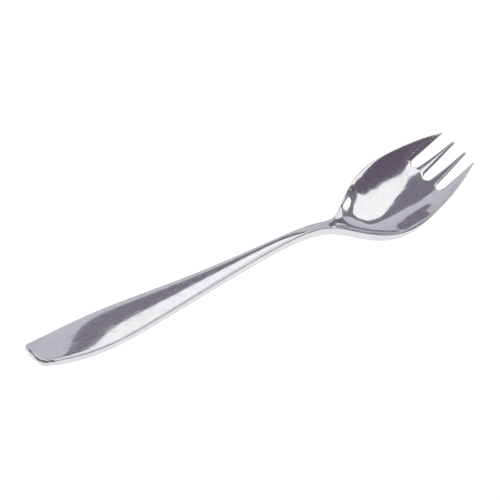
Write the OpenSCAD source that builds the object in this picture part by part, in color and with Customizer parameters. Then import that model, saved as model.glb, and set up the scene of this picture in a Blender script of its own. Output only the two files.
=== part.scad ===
// Oyster fork: a one-piece steel fork with a hollow bowl and four tines.
// X runs from the handle end to the tine tips, Y to the left, Z up. Sizes in millimetres.
// Every region is lofted through cross sections, which are read from one table along the length.

/* [Overall] */
// Length from the handle end to the inner tine tips
overall_length = 150; // [130:1:170]

/* [Handle] */
// Greatest width of the handle
handle_width = 15.7; // [12:0.1:20]
// Steel thickness along the middle of the handle
handle_thickness = 2.7; // [2:0.1:4]
// Length of the rounded corners at the handle end
end_corner = 3.2; // [1:0.1:6]
// How far the handle edge takes to round over
handle_edge = 1.0; // [0.3:0.1:1.2]

/* [Neck] */
// Narrowest width of the neck
neck_width = 3.5; // [2.5:0.1:6]

/* [Bowl] */
// Greatest width of the bowl
bowl_width = 31.7; // [26:0.1:36]
// Greatest depth of the hollow below the rim
bowl_depth = 4.1; // [2.6:0.1:4.6]
// How far the wall takes to flatten into a lip at the rim
lip = 2.0; // [0.4:0.1:2.6]
// Steel thickness in the middle of the bowl
bowl_thickness = 1.6; // [1:0.1:2.2]
// How far the rim takes to round over
rim_edge = 0.5; // [0.2:0.1:1]

/* [Tines] */
// Distance from the handle end to the root of the middle slot
middle_root = 137.4; // [132:0.1:140]
// Distance from the handle end to the root of the side slots
side_root = 137.5; // [132:0.1:141]
// Radius of the round slot roots
slot_radius = 1.7; // [1:0.1:2.2]
// Half width of the middle slot at the tips
middle_gap = 2.6; // [1.8:0.05:2.8]
// Half width of a side slot at the tips
side_gap = 2.45; // [1.8:0.05:2.6]
// Distance of a side slot from the middle at its root
side_root_y = 6.7; // [6:0.1:7.4]
// Distance of a side slot from the middle at the tips
side_tip_y = 5.9; // [5.6:0.05:6.4]
// How far a tine edge takes to round over
tine_edge = 0.35; // [0.1:0.05:0.5]
// How much shorter the outer tines are than the inner ones
outer_short = 0.7; // [0:0.1:3]

/* [Hidden] */
steel = [0.78, 0.78, 0.80];
// Ratios of the driving sizes to the sizes the table is drawn at
kx = overall_length / 150;
kh = handle_width / 15.7;
kn = neck_width / 3.5;
kb = bowl_width / 31.7;
kd = bowl_depth / 4.1;
th = handle_thickness;
tb = bowl_thickness;
// Each row: x, half width, rim height, hollow depth, thickness in the middle, thickness at the rim, and
// the bend towards the rim, 1 for a plain dish and less for steeper sides
rows = [
    [0 * kx, 5.3 * kh, 3.7, -0.26, th - 0.2, th - 0.46, 1],
    [6 * kx, 6.1 * kh, 2.69, -0.33, th, th - 0.33, 1],
    [14 * kx, 7.5 * kh, 2.2, -0.37, th, th - 0.37, 1],
    [24 * kx, 8.1 * kh, 2.54, -0.38, th, th - 0.38, 1],
    [34 * kx, 7.3 * kh, 3.35, -0.37, th, th - 0.37, 1],
    [45 * kx, 5.9 * kh, 4.32, -0.32, th, th - 0.32, 1],
    [57 * kx, 4.4 * kh, 5.37, -0.28, th, th - 0.28, 1],
    [69 * kx, 3.1 * kh, 6.7, -0.27, th, th - 0.27, 1],
    [81 * kx, 2.2 * kn, 8.2, -0.22, th, th - 0.22, 1],
    [92 * kx, 1.7 * kn, 9.22, -0.15, th, th - 0.15, 1],
    [100 * kx, 1.7 * kn, 8.88, -0.05, th, th - 0.05, 1],
    [106 * kx, 2.1 * kn, 6.85, 0.15 * kd, th - 0.1, th - 0.2, 1],
    [111 * kx, 6 * kb, 5.45, 2.05 * kd, tb + 1, tb + 1, 0.98],
    [116 * kx, 11.25 * kb, 5.45, 3.25 * kd, tb + 1.03, tb + 0.8, 0.98],
    [121 * kx, 14.65 * kb, 6.65, 3.6 * kd, tb + 0.5, tb + 0.3, 0.9],
    [126 * kx, 16.15 * kb, 8.75, 3.95 * kd, tb + 0.15, tb - 0.2, 0.88],
    [131 * kx, 15.65 * kb, 10.85, 4.25 * kd, tb - 0.1, tb - 0.5, 0.8],
    [137 * kx, 14.3 * kb, 12.95, 2.55 * kd, tb - 0.2, tb - 0.7, 0.9],
    [143 * kx, 12.2 * kb, 14.95, 1.95 * kd, tb - 0.4, tb - 0.85, 1],
    [149 * kx, 8.9 * kb, 17.05, 0.5 * kd, tb - 0.7, tb - 1, 0.95],
    [151 * kx, 7.6 * kb, 17.9, 0.3 * kd, tb - 0.8, tb - 1, 0.95]
];
last = len(rows) - 1;
neck_start = 81 * kx;
neck_end = 106 * kx;
root_x = middle_root * kx;
inner_tip = overall_length;
outer_tip = overall_length - outer_short;
// Shapes of the rounded edges, 2 for an ellipse and more for a squarer edge
corner_power = 3;
edge_power = 2.6;
end_blunt = 0.45;

// The table row, carried on in a straight line past both ends
function row(i) = i < 0 ? 2 * rows[0] - rows[1]
    : i > last ? 2 * rows[last] - rows[last - 1] : rows[i];
// The table read smoothly at a place between its rows, by a cubic B-spline
function read(s) = let(i = min(floor(s), last - 1), t = s - i)
    (pow(1 - t, 3) * row(i - 1) + (3 * pow(t, 3) - 6 * t * t + 4) * row(i)
    + (-3 * pow(t, 3) + 3 * t * t + 3 * t + 1) * row(i + 1) + pow(t, 3) * row(i + 2)) / 6;
// The place in the table where the fork has a given x, found by halving
function place(x, lo = 0, hi = last, n = 40) = n == 0 ? (lo + hi) / 2
    : read((lo + hi) / 2)[0] < x ? place(x, (lo + hi) / 2, hi, n - 1)
    : place(x, lo, (lo + hi) / 2, n - 1);
function section(x) = read(place(x));

function ease(t) = let(c = max(0, min(1, t))) c * c * (3 - 2 * c);
function arc(t) = let(c = max(0, min(1, t))) pow(max(0, 1 - pow(1 - c, corner_power)), 1 / corner_power);

// The lip's share at x: none on the handle, whole round the middle of the bowl, none at the slots
function turn(x) = ease((x / kx - 112) / 8) * ease((137 - x / kx) / 12);
// How much of the hollow is reached at a distance s from the edge of section q
function sunk(q, s) = pow(max(0, 1 - pow(1 - min(1, s / q[1]), 2)), q[6]);
// Height of the upper face and the vertical thickness, at a distance y from the middle of section q
function upper(q, y) = let(k = turn(q[0]) * lip, s = max(0, q[1] - abs(y)), low = sunk(q, k))
    q[2] - q[3] * (sunk(q, s + k * exp(-s / lip)) - low) / (1 - low);
function thick(q, y) = let(v = max(0, 1 - pow(y / q[1], 2))) q[5] + (q[4] - q[5]) * v;

// Half width at x, with the corners of the handle end rounded off
end_start = end_corner * (1 - pow(1 - pow(end_blunt, corner_power), 1 / corner_power));
function half(x) = let(q = section(x)) q[1] * arc((x + end_start) / end_corner);

// One cross section from y = a to y = b with its edges rounded over ca and cb.
// Its columns are [y, share of the thickness]; nc columns for each edge, nm for the face between.
function columns(a, b, ca, cb, nc, nm) = concat(
    [for (i = [0:nc - 1]) let(g = 90 * i / nc)
        [a + ca * (1 - pow(cos(g), 2 / edge_power)), pow(sin(g), 2 / edge_power)]],
    [for (i = [0:nm]) [a + ca + (b - cb - a - ca) * i / nm, 1]],
    [for (i = [nc - 1:-1:0]) let(g = 90 * i / nc)
        [b - cb * (1 - pow(cos(g), 2 / edge_power)), pow(sin(g), 2 / edge_power)]]);
function ring(x, a, b, ca, cb, nc, nm, full = 1) = let(
    q = section(x), cols = columns(a, b, ca, cb, nc, nm), n = len(cols) - 1,
    mid = [for (c = cols) upper(q, c[0]) - thick(q, c[0]) / 2],
    rise = [for (c = cols) full * c[1] * thick(q, c[0]) / 2])
    concat([for (j = [0:n]) [x, cols[j][0], mid[j] + rise[j]]],
        [for (j = [n - 1:-1:1]) [x, cols[j][0], mid[j] - rise[j]]]);

// A closed solid through rings that all have the same number of points
module loft(rings) {
    n = len(rings[0]);
    m = len(rings);
    half_n = n / 2;
    sides = [for (i = [0:m - 2], j = [0:n - 1]) let(k = (j + 1) % n)
        each [[i * n + j, i * n + k, (i + 1) * n + k], [i * n + j, (i + 1) * n + k, (i + 1) * n + j]]];
    back = [for (j = [0:half_n - 1]) let(a = j, b = j + 1, c = n - b, d = (n - a) % n)
        each (j == 0 ? [[b, a, c]] : j == half_n - 1 ? [[b, a, d]] : [[b, a, d], [b, d, c]])];
    front = [for (f = back) [for (p = [2:-1:0]) f[p] + (m - 1) * n]];
    polyhedron(points = [for (r = rings) each r], faces = concat(sides, back, front));
}

// Places along the handle: close together round the end, then evenly spaced
handle_x = concat(
    [for (i = [0:9]) end_corner * (1 - cos(90 * i / 9))],
    [for (i = [1:30]) end_corner + (neck_start - end_corner) * i / 30]);
function plain_ring(x, c, nc, nm) = let(w = half(x))
    ring(x, -w, w, c, c, nc, nm, max(0.5, arc(x / handle_edge)));

module handle() {
    color(steel) loft([for (x = handle_x) plain_ring(x, handle_edge, 5, 8)]);
}

module neck() {
    color(steel) loft([for (i = [0:20]) let(x = neck_start + (neck_end - neck_start) * i / 20)
        plain_ring(x, handle_edge + (rim_edge - handle_edge) * ease(i / 20), 5, 8)]);
}

module bowl() {
    color(steel) loft([for (i = [0:36]) let(x = neck_end + (root_x - neck_end) * i / 36)
        plain_ring(x, rim_edge + (tine_edge - rim_edge) * ease(i / 36), 5, 26)]);
}

// Half width of a slot at x: nothing before its root, a half circle, then a straight taper
function slot(x, root, gap) = let(d = x - root, r = slot_radius)
    d <= 0 ? 0 : d < r ? sqrt(r * r - (r - d) * (r - d))
    : r + (gap - r) * (d - r) / (inner_tip - root - r);
function middle_edge(x) = slot(x, root_x, middle_gap);
function side_mid(x) = side_root_y + (side_tip_y - side_root_y) * (x - side_root * kx) / (inner_tip - side_root * kx);
function side_inner(x) = side_mid(x) - slot(x, side_root * kx, side_gap);
function side_outer(x) = side_mid(x) + slot(x, side_root * kx, side_gap);
// Places along a tine: close together round the slot roots, wider apart towards the tip
function tine_x(tip) = [for (i = [0:18]) root_x + (tip - root_x) * pow(i / 18, 1.8)];
function tine_round(x, root) = tine_edge * (0.15 + 0.85 * ease((x - root) / slot_radius));
// The rounding never takes more than part of a narrow tip
function fit_round(c, a, b) = min(c, 0.4 * (b - a));

module outer_tine(side) {
    color(steel) loft([for (x = tine_x(outer_tip)) let(
        a = side_outer(x), b = half(x), ca = fit_round(tine_round(x, side_root * kx), a, b),
        cb = fit_round(tine_edge, a, b))
        side > 0 ? ring(x, a, b, ca, cb, 4, 10) : ring(x, -b, -a, cb, ca, 4, 10)]);
}

module inner_tine(side) {
    color(steel) loft([for (x = tine_x(inner_tip)) let(
        a = middle_edge(x), b = side_inner(x), ca = fit_round(tine_round(x, root_x), a, b),
        cb = fit_round(tine_round(x, side_root * kx), a, b))
        side > 0 ? ring(x, a, b, ca, cb, 4, 8) : ring(x, -b, -a, cb, ca, 4, 8)]);
}

module left_outer_tine() { outer_tine(1); }
module left_inner_tine() { inner_tine(1); }
module right_inner_tine() { inner_tine(-1); }
module right_outer_tine() { outer_tine(-1); }

// The sections stand in the drawn frame; the fork is then centred over the origin
module placed() {
    translate([-overall_length / 2, 0, 0]) children();
}

placed() handle();
placed() neck();
placed() bowl();
placed() left_outer_tine();
placed() left_inner_tine();
placed() right_inner_tine();
placed() right_outer_tine();
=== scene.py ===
"""Oyster fork: one polished steel blank, pressed to shape and parted where its named regions meet."""
import logging
import math
from dataclasses import dataclass, field
from enum import Enum
from functools import lru_cache
from typing import List, Optional, Tuple

import bmesh
import bpy
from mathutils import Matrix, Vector


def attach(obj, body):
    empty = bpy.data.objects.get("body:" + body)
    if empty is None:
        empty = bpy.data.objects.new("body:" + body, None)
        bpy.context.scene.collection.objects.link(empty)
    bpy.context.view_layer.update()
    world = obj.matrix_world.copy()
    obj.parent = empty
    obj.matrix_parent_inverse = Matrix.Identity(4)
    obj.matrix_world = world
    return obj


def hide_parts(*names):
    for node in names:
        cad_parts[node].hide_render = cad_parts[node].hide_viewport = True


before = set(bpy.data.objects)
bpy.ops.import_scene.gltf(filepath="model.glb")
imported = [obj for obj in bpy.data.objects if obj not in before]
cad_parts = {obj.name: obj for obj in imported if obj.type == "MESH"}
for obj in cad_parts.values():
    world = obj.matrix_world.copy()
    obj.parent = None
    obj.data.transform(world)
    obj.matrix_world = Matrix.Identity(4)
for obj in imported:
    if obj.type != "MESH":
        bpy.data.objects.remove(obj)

LOG = logging.getLogger("oyster_fork")
MM = 0.001
Row = Tuple[float, float, float, float, float, float, float]
Edge = Tuple[Tuple[float, float], ...]
Colour = Tuple[float, float, float]


class Region(Enum):
    """The named regions of the fork, with the CAD node that each stands for."""

    HANDLE = "handle"
    NECK = "neck"
    BOWL = "bowl"
    LEFT_OUTER = "left_outer_tine"
    LEFT_INNER = "left_inner_tine"
    RIGHT_INNER = "right_inner_tine"
    RIGHT_OUTER = "right_outer_tine"


class Strip(Enum):
    """The kinds of lengthwise strip that the front of the blank is made of."""

    MIDDLE_SLOT = 0
    INNER_TINE = 1
    SIDE_SLOT = 2
    OUTER_TINE = 3


def ease(t: float) -> float:
    """Rise smoothly from 0 to 1."""
    c = max(0.0, min(1.0, t))
    return c * c * (3.0 - 2.0 * c)


def round_over(t: float, power: float) -> float:
    """Rise from 0 to 1 along a quarter of a superellipse."""
    c = max(0.0, min(1.0, t))
    return max(0.0, 1.0 - (1.0 - c) ** power) ** (1.0 / power)


@dataclass(frozen=True)
class Section:
    """One cross section of the fork, in millimetres.

    Attributes:
        half: half the width.
        rim: height of the upper edge above the table.
        hollow: depth of the upper face below its edges, negative for a crown.
        middle: thickness in the middle.
        edge: thickness at the edge.
        bend: how the hollow meets the rim: 1 for a plain dish, less for steeper sides, more for a flat lip.
    """

    half: float
    rim: float
    hollow: float
    middle: float
    edge: float
    bend: float


@dataclass(frozen=True)
class Profile:
    """The sections along the fork, read smoothly between a few drawn rows.

    Attributes:
        length: distance from the handle end to the inner tine tips.
        handle_steel: thickness along the middle of the handle.
        bowl_steel: thickness in the middle of the bowl.
        end_corner: length of the rounded corners at the handle end.
        corner_power: squareness of those corners.
        lip: width over which the bowl's wall flattens towards its rim.
        lip_rise: x where that lip starts and where it is full.
        lip_fall: x where it starts to fade and where it ends.
        halvings: how often the search for a place along the rows is halved.
    """

    length: float = 150.0
    handle_steel: float = 2.7
    bowl_steel: float = 1.6
    end_corner: float = 3.2
    corner_power: float = 3.0
    lip: float = 2.0
    lip_rise: Tuple[float, float] = (118.0, 124.0)
    lip_fall: Tuple[float, float] = (126.0, 135.0)
    halvings: int = 36

    @property
    def rows(self) -> List[Row]:
        """The drawn rows: x, half width, rim, hollow, thickness in the middle and at the edge, bend."""
        th, tb = self.handle_steel, self.bowl_steel
        return [
            (0.0, 5.3, 3.7, -0.26, th - 0.2, th - 0.46, 1.0),
            (6.0, 6.1, 2.69, -0.33, th, th - 0.33, 1.0),
            (14.0, 7.5, 2.2, -0.37, th, th - 0.37, 1.0),
            (24.0, 8.1, 2.54, -0.38, th, th - 0.38, 1.0),
            (34.0, 7.3, 3.35, -0.37, th, th - 0.37, 1.0),
            (45.0, 5.9, 4.32, -0.32, th, th - 0.32, 1.0),
            (57.0, 4.4, 5.37, -0.28, th, th - 0.28, 1.0),
            (69.0, 3.1, 6.7, -0.27, th, th - 0.27, 1.0),
            (81.0, 2.2, 8.2, -0.22, th, th - 0.22, 1.0),
            (92.0, 1.7, 9.22, -0.15, th, th - 0.15, 1.0),
            (100.0, 1.7, 8.88, -0.05, th, th - 0.05, 1.0),
            (106.0, 2.1, 6.85, 0.15, th - 0.1, th - 0.2, 1.0),
            (111.0, 6.0, 5.45, 2.05, tb + 1.0, tb + 1.0, 0.98),
            (116.0, 11.25, 5.45, 3.25, tb + 1.03, tb + 0.8, 0.98),
            (121.0, 14.65, 6.65, 3.6, tb + 0.5, tb + 0.3, 0.9),
            (126.0, 16.15, 8.75, 3.95, tb + 0.15, tb - 0.2, 0.88),
            (131.0, 15.65, 10.85, 4.25, tb - 0.1, tb - 0.5, 0.8),
            (137.0, 14.3, 12.95, 2.55, tb - 0.2, tb - 0.7, 0.9),
            (143.0, 12.2, 14.95, 1.95, tb - 0.4, tb - 0.85, 1.0),
            (149.0, 8.9, 17.05, 0.5, tb - 0.7, tb - 1.0, 0.95),
            (151.0, 7.6, 17.9, 0.3, tb - 0.8, tb - 1.0, 0.95),
        ]

    @lru_cache(maxsize=None)
    def padded(self) -> List[Row]:
        """The drawn rows, carried on in a straight line past both ends."""
        rows = self.rows
        first = tuple(2 * a - b for a, b in zip(rows[0], rows[1]))
        last = tuple(2 * a - b for a, b in zip(rows[-1], rows[-2]))
        return [first, *rows, last]

    def read(self, place: float) -> Row:
        """Read the rows at a place between them, by a cubic B-spline.

        Args:
            place: row number, counted from 0, with its fraction.

        Returns:
            The row's values there.
        """
        rows = self.padded()
        i = min(int(place), len(rows) - 4)
        t = place - i
        weights = (
            (1 - t) ** 3 / 6,
            (3 * t**3 - 6 * t**2 + 4) / 6,
            (-3 * t**3 + 3 * t**2 + 3 * t + 1) / 6,
            t**3 / 6,
        )
        return tuple(sum(w * r[k] for w, r in zip(weights, rows[i : i + 4])) for k in range(7))

    @lru_cache(maxsize=None)
    def at(self, x: float) -> Section:
        """Give the cross section at a distance from the handle end.

        Args:
            x: distance from the handle end.

        Returns:
            The section there.
        """
        low, high = 0.0, len(self.rows) - 1.0
        for _ in range(self.halvings):
            centre = (low + high) / 2
            if self.read(centre)[0] < x:
                low = centre
            else:
                high = centre
        return Section(*self.read((low + high) / 2)[1:])

    def half(self, x: float) -> float:
        """Give half the width at x, with the corners of the handle end rounded off."""
        return self.at(x).half * round_over(x / self.end_corner, self.corner_power)

    def end_edge(self, y: float) -> float:
        """Give the x of the handle's end edge at a distance y from the middle."""
        share = min(1.0, abs(y) / self.at(0.0).half)
        return self.end_corner * (1.0 - (1.0 - share**self.corner_power) ** (1.0 / self.corner_power))

    def upper(self, x: float, y: float) -> float:
        """Give the height of the upper face, before its edges are rounded."""
        q = self.at(x)
        (rise, full), (fade, end) = self.lip_rise, self.lip_fall
        turn = ease((x - rise) / (full - rise)) * ease((end - x) / (end - fade))
        inset = max(0.0, q.half - abs(y))
        inset += turn * self.lip * math.exp(-inset / self.lip)
        low = max(0.0, 1.0 - (1.0 - turn * self.lip / q.half) ** 2) ** q.bend
        share = max(0.0, 1.0 - (1.0 - min(1.0, inset / q.half)) ** 2) ** q.bend
        return q.rim - q.hollow * (share - low) / (1.0 - low)

    def thickness(self, x: float, y: float) -> float:
        """Give the thickness of the steel, before its edges are rounded."""
        q = self.at(x)
        v = max(0.0, 1.0 - (y / q.half) ** 2)
        return q.edge + (q.middle - q.edge) * v


@dataclass(frozen=True)
class Slots:
    """The three slots between the tines, each a half-round root and a straight taper.

    Attributes:
        middle_root: x of the middle slot's root.
        side_root: x of the side slots' roots.
        radius: radius of the roots.
        root_arc: angle in degrees that a root's arc takes up on each side of its middle.
        middle_gap: half width of the middle slot at the tips.
        side_gap: half width of a side slot at the tips.
        side_root_y: distance of a side slot from the middle at its root.
        side_tip_y: the same at the tips.
        tip: x of the inner tine tips.
        outer_tip: x of the outer tine tips.
        crown: height of the crown across an inner tine, as a share of half its width.
        twist: slope across an outer tine that lifts its outer edge.
        relief_run: length over which crown and twist grow from the roots.
    """

    middle_root: float = 137.4
    side_root: float = 137.5
    radius: float = 1.7
    root_arc: float = 45.0
    middle_gap: float = 2.6
    side_gap: float = 2.45
    side_root_y: float = 6.7
    side_tip_y: float = 5.9
    tip: float = 150.0
    outer_tip: float = 149.3
    crown: float = 0.14
    twist: float = 0.05
    relief_run: float = 8.0

    def half(self, x: float, root: float, gap: float) -> float:
        """Give half the width of a slot at x.

        Args:
            x: distance from the handle end.
            root: x of the slot's root.
            gap: half width at the tips.

        Returns:
            Half the slot's width, 0 behind its root.
        """
        d, r = x - root, self.radius
        if d <= 0.0:
            return 0.0
        if d < r:
            return math.sqrt(r * r - (r - d) ** 2)
        return r + (gap - r) * (d - r) / (self.tip - root - r)

    def middle_edge(self, x: float) -> float:
        """Give the y of the middle slot's left edge."""
        return self.half(x, self.middle_root, self.middle_gap)

    def side_centre(self, x: float) -> float:
        """Give the y of the left side slot's centre line."""
        run = (x - self.side_root) / (self.tip - self.side_root)
        return self.side_root_y + (self.side_tip_y - self.side_root_y) * run

    def side_inner(self, x: float) -> float:
        """Give the y of the left side slot's inner edge."""
        return self.side_centre(x) - self.half(x, self.side_root, self.side_gap)

    def side_outer(self, x: float) -> float:
        """Give the y of the left side slot's outer edge."""
        return self.side_centre(x) + self.half(x, self.side_root, self.side_gap)

    def clearance(self, x: float, y: float) -> float:
        """Give how far a point of the plan lies from the nearest slot's edge."""
        found = []
        for root, gap, centre in (
            (self.middle_root, self.middle_gap, 0.0),
            (self.side_root, self.side_gap, self.side_centre(x)),
        ):
            off = abs(abs(y) - centre)
            if x < root + self.radius:
                found.append(math.hypot(x - root - self.radius, off) - self.radius)
            else:
                found.append(off - self.half(x, root, gap))
        return max(0.0, min(found))

    def relief(self, x: float, y: float, half: float) -> float:
        """Give how far a tine's faces are lifted: a crown across the inner ones, a twist of the outer ones.

        Args:
            x: distance from the handle end.
            y: distance from the middle.
            half: half the fork's width there.

        Returns:
            The lift, 0 behind the roots.
        """
        grown = ease((x - self.side_root - self.radius) / self.relief_run)
        middle, inner, outer = self.middle_edge(x), self.side_inner(x), self.side_outer(x)
        if abs(y) > (inner + outer) / 2:
            return grown * self.twist * (abs(y) - (outer + half) / 2)
        tine = (inner - middle) / 2
        share = (abs(y) - middle) / tine - 1.0
        return grown * self.crown * tine * (1.0 - share * share)


@dataclass(frozen=True)
class Rounding:
    """How far the edges take to round over, in millimetres.

    Attributes:
        handle: along the handle.
        rim: round the bowl.
        tine: along the tines and slots.
        power: squareness of the rounded edge.
        land: share of the thickness that stays upright at the very edge.
        neck_run: x where the handle's rounding starts to turn into the rim's, and how far that takes.
        bowl_run: the same for the rim's and the tines'.
    """

    handle: float = 1.0
    rim: float = 0.3
    tine: float = 0.22
    power: float = 2.4
    land: float = 0.45
    neck_run: Tuple[float, float] = (81.0, 25.0)
    bowl_run: Tuple[float, float] = (106.0, 31.0)

    def outline(self, x: float) -> float:
        """Give the rounding of the outer edge at x."""
        to_rim = ease((x - self.neck_run[0]) / self.neck_run[1])
        to_tine = ease((x - self.bowl_run[0]) / self.bowl_run[1])
        return self.handle + (self.rim - self.handle) * to_rim + (self.tine - self.rim) * to_tine


@dataclass
class Blank:
    """The fork's blank: a flat sheet with slots, pressed to shape and given its thickness.

    Attributes:
        profile: sections along the fork.
        slots: slots between the tines.
        rounding: rounding of the edges.
        neck_start: x where the handle ends and the neck starts.
        neck_end: x where the neck ends and the bowl starts.
        root: x of the row that the tines start from.
        end_rows: places of the first rows, counted from the end of the handle's corners.
        spans: x up to which each stretch of rows goes, and how many rows it has.
        root_rows: places of the rows at the slots' roots, counted from the root.
        tip_shares: places of the rows along a tine, as shares of its length.
        strips: places of the columns from the middle to the left edge, as shares across each strip.
        crowding: how much closer the columns stand towards the edge.
        bow_run: length over which the rows bow to follow the slots' roots.
        gather_run: length over which the columns gather beside the slots.
        end_run: length over which the rows follow the handle's end.
        smoothing: how often the sheet is subdivided.
    """

    profile: Profile
    slots: Slots
    rounding: Rounding
    neck_start: float = 81.0
    neck_end: float = 106.0
    root: float = 137.9
    end_rows: Tuple[float, ...] = (0.0, 0.25, 0.6, 1.1, 1.8, 2.8, 4.2, 6.2, 8.8, 12.0)
    spans: Tuple[Tuple[float, int], ...] = ((81.0, 18), (106.0, 12), (118.0, 10), (134.0, 14))
    root_rows: Tuple[float, ...] = (-2.2, -1.3, -0.75, -0.32, 0.0)
    tip_shares: Tuple[float, ...] = (0.03, 0.075, 0.14, 0.23, 0.34, 0.46, 0.58, 0.7, 0.81, 0.9, 0.96, 1.0)
    strips: Tuple[Tuple[Strip, Tuple[float, ...]], ...] = (
        (Strip.MIDDLE_SLOT, (0.0, 0.5)),
        (Strip.INNER_TINE, (0.0, 0.1, 0.5, 0.9)),
        (Strip.SIDE_SLOT, (-1.0, -0.5, 0.0, 0.5)),
        (Strip.OUTER_TINE, (0.0, 0.07, 0.24, 0.44, 0.64, 0.82, 0.95, 1.0)),
    )
    crowding: float = 1.5
    bow_run: float = 14.0
    gather_run: float = 32.0
    end_run: float = 9.0
    smoothing: int = 2
    corner_y: float = field(init=False)
    corner_x: float = field(init=False)
    rows: List[float] = field(init=False)
    columns: List[Tuple[Strip, float]] = field(init=False)
    root_row: int = field(init=False)

    def __post_init__(self) -> None:
        """Lay out the rows and columns of the sheet."""
        self.corner_y = 0.5 ** (1.0 / self.profile.corner_power) * self.profile.at(0.0).half
        self.corner_x = self.profile.end_edge(self.corner_y)
        self.rows = self._lay_rows()
        self.columns = [(strip, t) for strip, shares in self.strips for t in shares]
        self.root_row = len(self.rows) - 1

    def _lay_rows(self) -> List[float]:
        """Give the x of each row up to the slot roots."""
        rows = [self.corner_x + d for d in self.end_rows]
        start = rows[-1]
        for stop, steps in self.spans:
            rows += [start + (stop - start) * (n + 1) / steps for n in range(steps)]
            start = stop
        return rows + [self.root + d for d in self.root_rows]

    def _root_point(self, strip: Strip, t: float) -> Tuple[float, float]:
        """Give the plan position of a column at the slot roots.

        Args:
            strip: strip that the column belongs to.
            t: share across the strip.

        Returns:
            x and y, on the left half.
        """
        s = self.slots
        bow = s.radius * (1.0 - math.cos(math.radians(s.root_arc)))
        if strip is Strip.MIDDLE_SLOT:
            angle = math.radians(s.root_arc * t)
            return s.middle_root + s.radius * (1.0 - math.cos(angle)), s.radius * math.sin(angle)
        if strip is Strip.SIDE_SLOT:
            angle = math.radians(s.root_arc * t)
            x = s.side_root + s.radius * (1.0 - math.cos(angle))
            return x, s.side_centre(x) + s.radius * math.sin(angle)
        x_mid, x_side = s.middle_root + bow, s.side_root + bow
        if strip is Strip.INNER_TINE:
            a, b = s.middle_edge(x_mid), s.side_inner(x_side)
            return x_mid + (x_side - x_mid) * t, a + (b - a) * t
        a, b = s.side_outer(x_side), self.profile.half(x_side)
        return x_side, a + (b - a) * t

    def _tine_point(self, strip: Strip, t: float, share: float) -> Tuple[float, float]:
        """Give the plan position of a column on a tine.

        Args:
            strip: strip that the column belongs to.
            t: share across the tine.
            share: share of the way from the slot roots to the tip.

        Returns:
            x and y, on the left half.
        """
        s = self.slots
        if strip is Strip.SIDE_SLOT:
            strip, t = Strip.INNER_TINE, 1.0
        if strip is Strip.INNER_TINE:
            x0, x1 = (self._root_point(strip, e)[0] for e in (0.0, 1.0))
            xa, xb = (x + (s.tip - x) * share for x in (x0, x1))
            a, b = s.middle_edge(xa), s.side_inner(xb)
            return xa + (xb - xa) * t, a + (b - a) * t
        x0 = self._root_point(strip, t)[0]
        x = x0 + (s.outer_tip - x0) * share
        a, b = s.side_outer(x), self.profile.half(x)
        return x, a + (b - a) * t

    def plan(self, row: int, column: int) -> Tuple[float, float]:
        """Give the place of a sheet vertex in plan.

        Args:
            row: row number from the handle end.
            column: column number from the middle, negative to the right.

        Returns:
            x from the handle end and y to the left.
        """
        strip, t = self.columns[abs(column)]
        side = -1.0 if column < 0 else 1.0
        if row > self.root_row:
            x, y = self._tine_point(strip, t, self.tip_shares[row - self.root_row - 1])
            return x, side * y
        root_x, root_y = self._root_point(strip, t)
        x = self.rows[row]
        x += (root_x - self.root) * ease(1.0 - (self.root - x) / self.bow_run)
        even = 1.0 - (1.0 - abs(column) / (len(self.columns) - 1)) ** self.crowding
        near_root = root_y / self.profile.half(root_x)
        share = even + (near_root - even) * ease(1.0 - (self.root - x) / self.gather_run)
        y = share * self.profile.half(x)
        end_pull = ease(1.0 - (x - self.corner_x) / self.end_run)
        x -= (self.corner_x - self.profile.end_edge(share * self.corner_y)) * end_pull
        return x, side * y

    def fullness(self, x: float, y: float) -> float:
        """Give the share of the thickness that is left at a point, because the edges are rounded.

        Args:
            x: distance from the handle end.
            y: distance from the middle.

        Returns:
            A share, 1 away from the edges.
        """
        p, r = self.profile, self.rounding
        step = 0.05
        slope = (p.half(x + step) - p.half(max(0.0, x - step))) / (2 * step)
        to_side = max(0.0, p.half(x) - abs(y)) / math.sqrt(1.0 + slope * slope)
        tip = self.slots.tip if abs(y) < self.slots.side_centre(x) else self.slots.outer_tip
        lack = (1.0 - min(1.0, to_side / r.outline(x))) ** r.power
        if x > self.neck_end:
            lack += (1.0 - min(1.0, self.slots.clearance(x, y) / r.tine)) ** r.power
            lack += (1.0 - min(1.0, max(0.0, tip - x) / r.tine)) ** r.power
        else:
            lack += (1.0 - min(1.0, max(0.0, x - p.end_edge(y)) / r.handle)) ** r.power
        return r.land + (1.0 - r.land) * (1.0 - min(1.0, lack)) ** (1.0 / r.power)

    def press(self, x: float, y: float, up: bool) -> Vector:
        """Press a point of the plan to its height on the upper or the lower face.

        Args:
            x: distance from the handle end.
            y: distance from the middle.
            up: true for the upper face.

        Returns:
            The point in the fork's frame, in metres.
        """
        thick = self.profile.thickness(x, y)
        z = self.profile.upper(x, y) - thick / 2 + self.slots.relief(x, y, self.profile.half(x))
        z += (0.5 if up else -0.5) * thick * self.fullness(x, y)
        return Vector((x - self.profile.length / 2, y, z)) * MM

    def region(self, row: int, column: int) -> Optional[Region]:
        """Give the region of a sheet face.

        Args:
            row: row of the face's side towards the handle end.
            column: column of its side towards the middle, negative to the right.

        Returns:
            The region, or none where a slot is cut out.
        """
        strip = self.columns[abs(column)][0]
        if row >= self.root_row:
            if strip is Strip.INNER_TINE:
                return Region.LEFT_INNER if column > 0 else Region.RIGHT_INNER
            if strip is Strip.OUTER_TINE:
                return Region.LEFT_OUTER if column > 0 else Region.RIGHT_OUTER
            return None
        hair = 0.01
        x = self.rows[row] + hair
        if x < self.neck_start:
            return Region.HANDLE
        return Region.NECK if x < self.neck_end else Region.BOWL

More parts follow.
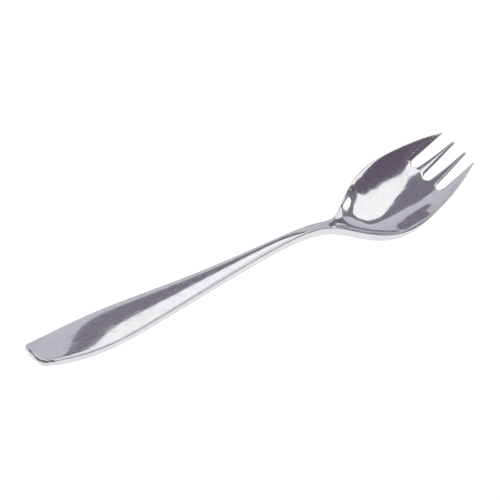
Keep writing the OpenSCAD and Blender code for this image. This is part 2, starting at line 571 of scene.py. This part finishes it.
    def cage(self) -> bpy.types.Mesh:
        """Build the closed cage of the whole blank.

        Returns:
            A mesh whose material numbers are the numbers of the regions.
        """
        across = len(self.columns) - 1
        along = self.root_row + len(self.tip_shares)
        order = list(Region)
        bm = bmesh.new()
        bmesh.ops.create_grid(bm, x_segments=along, y_segments=2 * across, size=1.0)
        row_of = bm.verts.layers.int.new("row")
        column_of = bm.verts.layers.int.new("column")
        for v in bm.verts:
            v[row_of] = round((v.co.x + 1.0) / 2.0 * along)
            v[column_of] = round(v.co.y * across)
        cut = []
        for f in bm.faces:
            row = min(v[row_of] for v in f.verts)
            column = min((v[column_of] for v in f.verts), key=abs)
            place = self.region(row, column)
            if place is None:
                cut.append(f)
            else:
                f.material_index = order.index(place)
        bmesh.ops.delete(bm, geom=cut, context="FACES")
        sheet = bm.faces[:]
        made = bmesh.ops.extrude_face_region(bm, geom=sheet)["geom"]
        upper = {v for v in made if isinstance(v, bmesh.types.BMVert)}
        for v in bm.verts:
            x, y = self.plan(v[row_of], v[column_of])
            v.co = self.press(x, y, v in upper)
        walls = set(bm.faces) - set(sheet) - set(made)
        for f in walls:
            beside = (g for e in f.edges for g in e.link_faces if g not in walls)
            f.material_index = next(beside).material_index
        bmesh.ops.recalc_face_normals(bm, faces=bm.faces[:])
        mesh = bpy.data.meshes.new("blank")
        bm.to_mesh(mesh)
        bm.free()
        return mesh

    def pressed(self) -> bpy.types.Mesh:
        """Smooth the cage into the finished surface of the whole fork."""
        cage = self.cage()
        body = bpy.data.objects.new("blank", cage)
        bpy.context.collection.objects.link(body)
        smooth = body.modifiers.new("smooth", "SUBSURF")
        smooth.levels = self.smoothing
        smooth.render_levels = self.smoothing
        graph = bpy.context.evaluated_depsgraph_get()
        mesh = bpy.data.meshes.new_from_object(body.evaluated_get(graph))
        bpy.data.objects.remove(body)
        bpy.data.meshes.remove(cage)
        return mesh


@dataclass
class Fork:
    """The fork's regions, parted from the pressed blank and dressed in its finish.

    Attributes:
        blank: blank that the fork is pressed from.
        steel: material of the whole fork.
    """

    blank: Blank
    steel: bpy.types.Material
    whole: bpy.types.Mesh = field(init=False)

    def __post_init__(self) -> None:
        """Press the blank once for all regions."""
        self.whole = self.blank.pressed()

    def part(self, region: Region) -> bpy.types.Object:
        """Part one region from the blank and close its cuts.

        The shading of the whole surface is kept, so that no seam shows where two regions meet.

        Args:
            region: region to part.

        Returns:
            The piece.
        """
        number = list(Region).index(region)
        bm = bmesh.new()
        bm.from_mesh(self.whole)
        bm.normal_update()
        whole_normal = bm.verts.layers.float_vector.new("whole_normal")
        for v in bm.verts:
            v[whole_normal] = v.normal
        others = [f for f in bm.faces if f.material_index != number]
        bmesh.ops.delete(bm, geom=others, context="FACES")
        caps = bmesh.ops.holes_fill(bm, edges=[e for e in bm.edges if e.is_boundary], sides=0)["faces"]
        bmesh.ops.recalc_face_normals(bm, faces=bm.faces[:])
        for f in bm.faces:
            f.smooth = True
            f.material_index = 0
        for f in caps:
            f.smooth = False
        mesh = bpy.data.meshes.new(region.value + "_steel")
        bm.to_mesh(mesh)
        bm.free()
        shading = mesh.attributes["whole_normal"].data
        normals = []
        for p in mesh.polygons:
            normals += [shading[i].vector[:] if p.use_smooth else p.normal[:] for i in p.vertices]
        mesh.normals_split_custom_set(normals)
        mesh.attributes.remove(mesh.attributes["whole_normal"])
        mesh.materials.append(self.steel)
        piece = bpy.data.objects.new(region.value + "_steel", mesh)
        bpy.context.collection.objects.link(piece)
        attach(piece, "root")
        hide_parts(region.value)
        LOG.info("%s: %d faces", piece.name, len(mesh.polygons))
        return piece


class Nodes:
    """A small helper that lays out the nodes of one material."""

    def __init__(self, tree: bpy.types.NodeTree) -> None:
        """Start from an empty tree.

        Args:
            tree: node tree to fill.
        """
        self.tree = tree
        tree.nodes.clear()

    def add(self, kind: str, **inputs: object) -> bpy.types.Node:
        """Add a node and fill its inputs.

        Args:
            kind: Blender's name for the node type.
            inputs: a socket to link from, or a value, for each input; spaces in names are underscores.

        Returns:
            The node.
        """
        node = self.tree.nodes.new(kind)
        for name, value in inputs.items():
            number = name[1:]
            socket = node.inputs[int(number) if number.isdigit() else name.replace("_", " ")]
            if isinstance(value, bpy.types.NodeSocket):
                self.tree.links.new(value, socket)
            else:
                socket.default_value = value
        return node


@dataclass(frozen=True)
class PolishedSteel:
    """Polished stainless steel with fine lengthwise polish lines, faint scratches and light wear.

    Attributes:
        bright: what freshly polished steel reflects.
        dull: what slightly worn steel reflects.
        gloss: lowest and highest roughness.
        line_height: height of the polish lines in metres.
        line_strength: how strongly they turn the light.
        line_scale: polish lines per metre along, across and up.
        cloud_scale: patches of wear per metre.
        worn: values of the wear pattern at which the steel is still bright, and dull.
        scratch_scale: fine scratches per metre along, across and up.
        scratch_slant: how far they lie askew, in degrees.
        scratched: values of their pattern at which a scratch starts, and is full.
        scratch_haze: roughness that a full scratch adds.
        detail: how many finer layers the patterns have.
        fineness: how strong each finer layer is.
    """

    bright: Colour = (0.675, 0.675, 0.69)
    dull: Colour = (0.62, 0.615, 0.635)
    gloss: Tuple[float, float] = (0.02, 0.09)
    line_height: float = 0.000004
    line_strength: float = 0.3
    line_scale: Tuple[float, float, float] = (70.0, 2600.0, 2600.0)
    cloud_scale: float = 150.0
    worn: Tuple[float, float] = (0.1, 0.45)
    scratch_scale: Tuple[float, float, float] = (180.0, 4200.0, 4200.0)
    scratch_slant: float = 24.0
    scratched: Tuple[float, float] = (0.48, 0.74)
    scratch_haze: float = 0.2
    detail: float = 3.0
    fineness: float = 0.6

    def material(self) -> bpy.types.Material:
        """Make the material, in Object coordinates.

        Returns:
            The material.
        """
        mat = bpy.data.materials.new("polished_steel")
        mat.use_nodes = True
        lay = Nodes(mat.node_tree)
        place = lay.add("ShaderNodeTexCoord").outputs["Object"]
        grain = {"Detail": self.detail, "Roughness": self.fineness}
        along = lay.add("ShaderNodeMapping", Vector=place, Scale=self.line_scale)
        lines = lay.add("ShaderNodeTexNoise", Vector=along.outputs[0], Scale=1.0, **grain)
        cloud = lay.add("ShaderNodeTexNoise", Vector=place, Scale=self.cloud_scale, **grain)
        wear = lay.add("ShaderNodeMath", _0=cloud.outputs["Fac"], _1=lines.outputs["Fac"])
        wear.operation = "MULTIPLY"
        still_bright, dulled = self.worn
        worn = lay.add("ShaderNodeMapRange", Value=wear.outputs[0], From_Min=still_bright, From_Max=dulled)
        share = worn.outputs["Result"]
        tint = lay.add("ShaderNodeMix", _0=share, _6=(*self.bright, 1.0), _7=(*self.dull, 1.0))
        tint.data_type = "RGBA"
        rough = lay.add("ShaderNodeMapRange", Value=share, To_Min=self.gloss[0], To_Max=self.gloss[1])
        slant = (0.0, 0.0, math.radians(self.scratch_slant))
        askew = lay.add("ShaderNodeMapping", Vector=place, Rotation=slant, Scale=self.scratch_scale)
        scratches = lay.add("ShaderNodeTexNoise", Vector=askew.outputs[0], Scale=1.0, **grain)
        first, full = self.scratched
        haze = lay.add("ShaderNodeMapRange", Value=scratches.outputs["Fac"], From_Min=first, From_Max=full)
        haze.inputs["To Max"].default_value = self.scratch_haze
        hazy = lay.add("ShaderNodeMath", _0=rough.outputs["Result"], _1=haze.outputs["Result"])
        bump = lay.add("ShaderNodeBump", Height=lines.outputs["Fac"], Distance=self.line_height)
        bump.inputs["Strength"].default_value = self.line_strength
        shader = lay.add("ShaderNodeBsdfPrincipled", Metallic=1.0)
        lay.tree.links.new(tint.outputs[2], shader.inputs["Base Color"])
        lay.tree.links.new(hazy.outputs[0], shader.inputs["Roughness"])
        lay.tree.links.new(bump.outputs["Normal"], shader.inputs["Normal"])
        lay.add("ShaderNodeOutputMaterial", Surface=shader.outputs["BSDF"])
        return mat


@dataclass(frozen=True)
class Card:
    """A glowing card bent round the fork, which the steel mirrors.

    An edge is a line of (azimuth, elevation) points in degrees, from left to right. The azimuth is counted
    from straight away from the camera, to the right, and the elevation from the table.

    Attributes:
        name: name of the card.
        lower: lower edge.
        upper: upper edge.
        strength: brightness at the upper edge, 1 for paper white.
        fall: share of that brightness at the lower edge.
        colour: tint of the light.
        reach: distance from the fork in metres.
    """

    name: str
    lower: Edge
    upper: Edge
    strength: float
    fall: float = 1.0
    colour: Colour = (1.0, 1.0, 1.0)
    reach: float = 40.0

    @staticmethod
    def follow(edge: Edge, azimuth: float) -> float:
        """Give the elevation of an edge at an azimuth, in a straight line between its points."""
        for (a, low), (b, high) in zip(edge, edge[1:]):
            if azimuth <= b:
                return low + (high - low) * max(0.0, azimuth - a) / (b - a)
        return edge[-1][1]

    def direction(self, across: float, up: float) -> Tuple[float, float, float]:
        """Give the direction of a point of the card.

        Args:
            across: share of the way from the left to the right side.
            up: share of the way from the lower to the upper edge.

        Returns:
            The direction as right, away and up.
        """
        azimuth = self.lower[0][0] + (self.lower[-1][0] - self.lower[0][0]) * across
        low, high = (self.follow(edge, azimuth) for edge in (self.lower, self.upper))
        a, e = math.radians(azimuth), math.radians(low + (high - low) * up)
        return math.sin(a) * math.cos(e), math.cos(a) * math.cos(e), math.sin(e)


@dataclass(frozen=True)
class Studio:
    """The floor, the backdrop, the lamps and the camera.

    Attributes:
        yaw: angle of the view round the fork, in degrees.
        elevation: angle of the view above the table, in degrees.
        distance: distance of the camera in metres.
        scale: pixels per millimetre.
        origin_px: pixel of the handle end's middle.
        origin_z: height of that point in millimetres.
        aim_z: height in millimetres of the point that the distance is taken from.
        frame_px: width and height of the picture in pixels.
        sensor: width of the camera's sensor in millimetres.
        sight: how far the camera sees, in metres.
        dim: what the steel mirrors where no card stands.
        card_grid: number of faces across and up a card.
        floor_half: half the width of the floor in metres.
        floor_grey: how much light the floor returns to the fork.
        floor_shade: how much of its light and shadow the camera sees.
        floor_glow: its own white to the camera, and in the steel.
    """

    yaw: float = -32.8
    elevation: float = 38.2
    distance: float = 6.2
    scale: float = 3.402
    origin_px: Tuple[float, float] = (32.0, 352.5)
    origin_z: float = 3.8
    aim_z: float = 6.0
    frame_px: float = 500.0
    sensor: float = 36.0
    sight: float = 50.0
    dim: Colour = (0.275, 0.25, 0.305)
    card_grid: Tuple[int, int] = (64, 12)
    floor_half: float = 12.0
    floor_grey: float = 0.85
    floor_shade: float = 0.35
    floor_glow: Tuple[float, float] = (0.88, 1.0)

    @property
    def cards(self) -> List[Card]:
        """The cards round the fork: lamp, backdrop, two reflectors, two flags, the dark room and a drape."""
        return [
            Card(
                "overhead_lamp",
                (
                    (-77.5, 54), (-72, 52.5), (-66, 50.5), (-62, 51.5), (-58, 53), (-54, 54.2), (-50, 54.8),
                    (-45, 54), (-40, 52), (-35, 47.5), (-30, 45.5), (-18, 46), (-10, 45.5), (-6, 45),
                    (0, 47), (20, 47), (32, 46), (38, 59),
                ),
                (
                    (-77.5, 69), (-74, 75), (-70, 82), (-62, 87), (10, 88), (20, 85), (27, 80), (33, 72),
                    (38, 61),
                ),
                1.36,
            ),
            Card(
                "backdrop",
                ((-62, 0), (40, 0)),
                (
                    (-62, 24), (-46, 30), (-42, 31.5), (-33, 33), (-26, 37), (-15, 37), (-8, 35.5),
                    (-4, 36.5), (0, 38.5), (5, 41), (9, 41.5), (14, 40), (28, 37.5), (33, 33), (36, 27),
                    (40, 12),
                ),
                0.78,
                fall=0.8,
                colour=(1.0, 0.99, 1.07),
            ),
            Card(
                "spot_card",
                ((44, 30), (47, 22), (49, 22), (52, 30), (54, 38), (56, 46), (57, 50)),
                ((44, 34), (45, 46), (47, 51), (50, 56), (53, 57), (56, 54), (57, 51)),
                1.7,
                reach=38.0,
            ),
            Card("side_card", ((70, 45), (117, 45)), ((70, 75), (91, 74), (117, 66)), 1.36, reach=38.0),
            Card(
                "low_flag",
                ((-34.3, 20.2), (-32, 16.9), (-29, 14.2), (-25, 11), (-23.2, 8.6), (-22.5, 6), (-20.5, 6)),
                (
                    (-34.3, 20.9), (-31, 20.6), (-28, 19.4), (-25.5, 18), (-23.4, 14.5), (-21.5, 10),
                    (-20.5, 8),
                ),
                1.0,
                colour=(0.25, 0.22, 0.27),
                reach=38.0,
            ),
            Card(
                "neck_flag",
                ((10, 0), (40, 0)),
                ((10, 4), (14, 8), (19, 11.5), (28, 13.5), (36, 13.5), (40, 12)),
                1.0,
                colour=(0.22, 0.18, 0.23),
                reach=38.0,
            ),
            Card(
                "dark_room",
                ((-300, 55), (-77, 55)),
                ((-300, 89), (-77, 89)),
                1.0,
                colour=(0.175, 0.14, 0.19),
            ),
            Card("drape", ((-180, 0), (180, 0)), ((-180, 90), (180, 90)), 1.0, colour=self.dim, reach=42.0),
        ]

    def place(self, right: float, away: float, up: float) -> Vector:
        """Turn a place seen from the camera into the fork's frame."""
        a = math.radians(self.yaw)
        x = right * math.cos(a) - away * math.sin(a)
        y = right * math.sin(a) + away * math.cos(a)
        return Vector((x, y, up))

    def camera(self, length: float) -> bpy.types.Object:
        """Set the camera at the photograph's viewing angle.

        Args:
            length: length of the fork in millimetres.

        Returns:
            The camera.
        """
        e = math.radians(self.elevation)
        back = self.place(0.0, -math.cos(e), math.sin(e))
        right = self.place(1.0, 0.0, 0.0)
        up = back.cross(right)
        target = Vector((-length / 2, 0.0, self.origin_z))
        target += right * (self.frame_px / 2 - self.origin_px[0]) / self.scale
        target += up * (self.origin_px[1] - self.frame_px / 2) / self.scale
        target += back * (Vector((0.0, 0.0, self.aim_z)) - target).dot(back)
        data = bpy.data.cameras.new("camera")
        data.sensor_width = self.sensor
        data.lens = self.scale * self.distance / MM * self.sensor / self.frame_px
        data.clip_end = self.sight
        cam = bpy.data.objects.new("camera", data)
        cam.location = target * MM + back * self.distance
        cam.rotation_mode = "QUATERNION"
        cam.rotation_quaternion = (-back).to_track_quat("-Z", "Y")
        bpy.context.collection.objects.link(cam)
        bpy.context.scene.camera = cam
        return cam

    def floor(self) -> bpy.types.Object:
        """Lay a plain pale floor, white to the camera and in the steel, which keeps the fork's shadow.

        Returns:
            The floor.
        """
        bm = bmesh.new()
        bmesh.ops.create_grid(bm, x_segments=1, y_segments=1, size=self.floor_half)
        mesh = bpy.data.meshes.new("floor")
        bm.to_mesh(mesh)
        bm.free()
        mat = bpy.data.materials.new("pale_floor")
        mat.use_nodes = True
        lay = Nodes(mat.node_tree)
        rays = lay.add("ShaderNodeLightPath")
        glossy = rays.outputs["Is Glossy Ray"]
        seen = lay.add("ShaderNodeMath", _0=rays.outputs["Is Camera Ray"], _1=glossy)
        seen.operation = "MAXIMUM"
        through = lay.add("ShaderNodeMath", _0=seen.outputs[0], _1=rays.outputs["Is Transmission Ray"])
        through.operation = "MAXIMUM"
        plain = lay.add("ShaderNodeBsdfDiffuse", Color=(*[self.floor_grey] * 3, 1.0))
        faint = lay.add("ShaderNodeBsdfDiffuse", Color=(*[self.floor_shade] * 3, 1.0))
        own, mirrored = self.floor_glow
        level = lay.add("ShaderNodeMapRange", Value=glossy, To_Min=own, To_Max=mirrored)
        glow = lay.add("ShaderNodeEmission", Color=(1.0, 1.0, 1.0, 1.0), Strength=level.outputs["Result"])
        white = lay.add("ShaderNodeAddShader", _0=faint.outputs[0], _1=glow.outputs[0])
        both = lay.add("ShaderNodeMixShader", _0=through.outputs[0])
        lay.tree.links.new(plain.outputs[0], both.inputs[1])
        lay.tree.links.new(white.outputs[0], both.inputs[2])
        lay.add("ShaderNodeOutputMaterial", Surface=both.outputs[0])
        mesh.materials.append(mat)
        floor = bpy.data.objects.new("floor", mesh)
        bpy.context.collection.objects.link(floor)
        return floor

    def hang(self, card: Card) -> bpy.types.Object:
        """Hang one card.

        Args:
            card: card to hang.

        Returns:
            The card's object, which the camera itself doesn't see.
        """
        bm = bmesh.new()
        across, up = self.card_grid
        bmesh.ops.create_grid(bm, x_segments=across, y_segments=up, size=1.0)
        glow_of = bm.verts.layers.float.new("glow")
        for v in bm.verts:
            share_across, share_up = (v.co.x + 1.0) / 2.0, (v.co.y + 1.0) / 2.0
            v[glow_of] = card.strength * (card.fall + (1.0 - card.fall) * share_up)
            v.co = self.place(*card.direction(share_across, share_up)) * card.reach
        mesh = bpy.data.meshes.new(card.name)
        bm.to_mesh(mesh)
        bm.free()
        mat = bpy.data.materials.new(card.name)
        mat.use_nodes = True
        lay = Nodes(mat.node_tree)
        level = lay.add("ShaderNodeAttribute")
        level.attribute_name = "glow"
        glow = lay.add("ShaderNodeEmission", Color=(*card.colour, 1.0), Strength=level.outputs["Fac"])
        lay.add("ShaderNodeOutputMaterial", Surface=glow.outputs[0])
        mesh.materials.append(mat)
        obj = bpy.data.objects.new(card.name, mesh)
        bpy.context.collection.objects.link(obj)
        obj.visible_camera = False
        return obj

    def surroundings(self) -> bpy.types.World:
        """Make the space outside the drape plain white, as the camera sees it in every view.

        Returns:
            The world.
        """
        world = bpy.data.worlds.new("studio")
        world.use_nodes = True
        lay = Nodes(world.node_tree)
        white = lay.add("ShaderNodeBackground", Color=(1.0, 1.0, 1.0, 1.0))
        lay.add("ShaderNodeOutputWorld", Surface=white.outputs[0])
        bpy.context.scene.world = world
        return world

    def build(self, length: float) -> None:
        """Set up the whole studio.

        Args:
            length: length of the fork in millimetres.
        """
        self.camera(length)
        self.floor()
        self.surroundings()
        for card in self.cards:
            self.hang(card)


def main() -> None:
    """Build, dress and place the fork."""
    logging.basicConfig(level=logging.INFO, format="%(message)s")
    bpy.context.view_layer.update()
    profile = Profile()
    fork = Fork(Blank(profile, Slots(), Rounding()), PolishedSteel().material())
    for region in Region:
        fork.part(region)
    Studio().build(profile.length)
    bpy.context.scene.view_settings.view_transform = "Standard"


if __name__ == "__main__":
    main()
